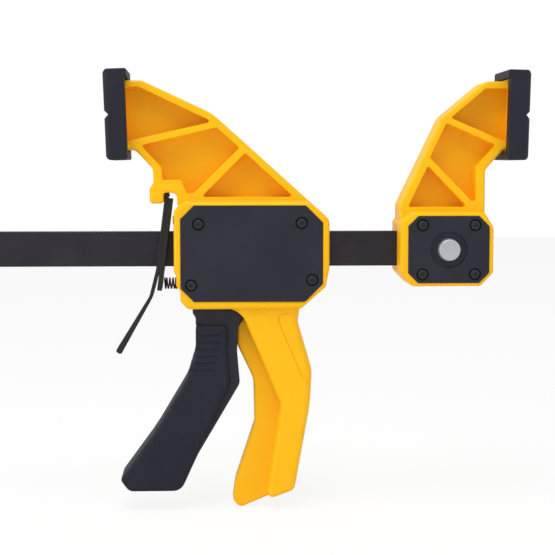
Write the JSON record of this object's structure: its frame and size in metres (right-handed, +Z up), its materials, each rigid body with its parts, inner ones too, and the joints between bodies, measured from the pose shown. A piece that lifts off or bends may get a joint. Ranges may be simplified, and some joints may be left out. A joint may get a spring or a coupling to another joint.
{
  "type": "bar clamp",
  "caption": "One-handed quick release bar clamp set up as a spreader: ribbed jaws with padded outward faces on a flat bar, trigger, release lever and locking button.",
  "frame": {"origin": "middle of the whole clamp in X and Y, at the foot of the fixed handle's blade", "axes": "+X along the bar towards the fixed jaw, +Z up the jaws, -Y the side with the lock button"},
  "size_m": [0.3982, 0.0426, 0.252],
  "materials": {
    "yellow_moulding": "satin glass-filled nylon, dyed through",
    "pad_rubber": "soft matt cap",
    "black_plastic": "fine matt texture",
    "black_screw_steel": "black finish",
    "trigger_plastic": "matt",
    "grip_rubber": "matt, ribbed",
    "guide_plastic": "slippery acetal",
    "blackened_bar_steel": "blackened, satin",
    "dark_lever_steel": "blackened sheet",
    "button_metal": "satin turned",
    "plate_steel": "ground",
    "spring_steel": "drawn wire"
  },
  "bodies": {
    "bar": {"slide_bar": "blackened_bar_steel", "bar_stop_pin": "plate_steel", "fixed_jaw_frame": "yellow_moulding", "fixed_jaw_pad": "pad_rubber", "fixed_jaw_cover_front": "black_plastic", "fixed_jaw_cover_back": "black_plastic", "fixed_jaw_screws_front": "black_screw_steel", "fixed_jaw_screws_back": "black_screw_steel", "lock_spring": "spring_steel"},
    "lock": {"lock_button": "button_metal", "lock_yoke": "plate_steel"},
    "carriage": {"carriage_frame": "yellow_moulding", "moving_jaw_pad": "pad_rubber", "body_cover_front": "black_plastic", "body_cover_back": "black_plastic", "body_cover_screws_front": "black_screw_steel", "body_cover_screws_back": "black_screw_steel", "bar_guide_front": "guide_plastic", "bar_guide_rear": "guide_plastic", "trigger_pivot_pin": "plate_steel", "drive_spring": "spring_steel", "brake_spring": "spring_steel"},
    "trigger": {"trigger_lever": "trigger_plastic", "trigger_grip": "grip_rubber"},
    "drive": {"drive_plate_1": "plate_steel", "drive_plate_2": "plate_steel", "drive_plate_3": "plate_steel", "drive_spring_seat": "guide_plastic"},
    "brake": {"brake_plate": "dark_lever_steel", "release_lever": "dark_lever_steel"}
  },
  "joints": [
    {"name": "jaw_slide", "type": "slide", "parent": "bar", "child": "carriage", "axis": [1, 0, 0], "range_m": [-0.1345, 0.0398]},
    {"name": "trigger_pull", "type": "hinge", "parent": "carriage", "child": "trigger", "pos_m": [0.0225, 0, 0.1677], "axis": [0, -1, 0], "range_deg": [0, 10], "stiffness_Nm_per_rad": 6, "springref_deg": -5.73},
    {"name": "drive_step", "type": "slide", "parent": "carriage", "child": "drive", "axis": [1, 0, 0], "range_m": [0, 0.0055], "stiffness_N_per_m": 400, "springref_m": -0.004, "deforming": ["drive_spring"]},
    {"name": "brake_release", "type": "hinge", "parent": "carriage", "child": "brake", "pos_m": [-0.00725, 0, 0.181], "axis": [0, -1, 0], "range_deg": [0, 4], "stiffness_Nm_per_rad": 1, "springref_deg": -5.73, "deforming": ["brake_spring"]},
    {"name": "lock_press", "type": "slide", "parent": "bar", "child": "lock", "axis": [0, 1, 0], "range_m": [0, 0.0046], "stiffness_N_per_m": 500, "springref_m": -0.004, "deforming": ["lock_spring"]}
  ],
  "couplings": [
    {"joint": "drive_step", "follows": "trigger_pull", "m_per_rad": 0.0315}
  ]
}
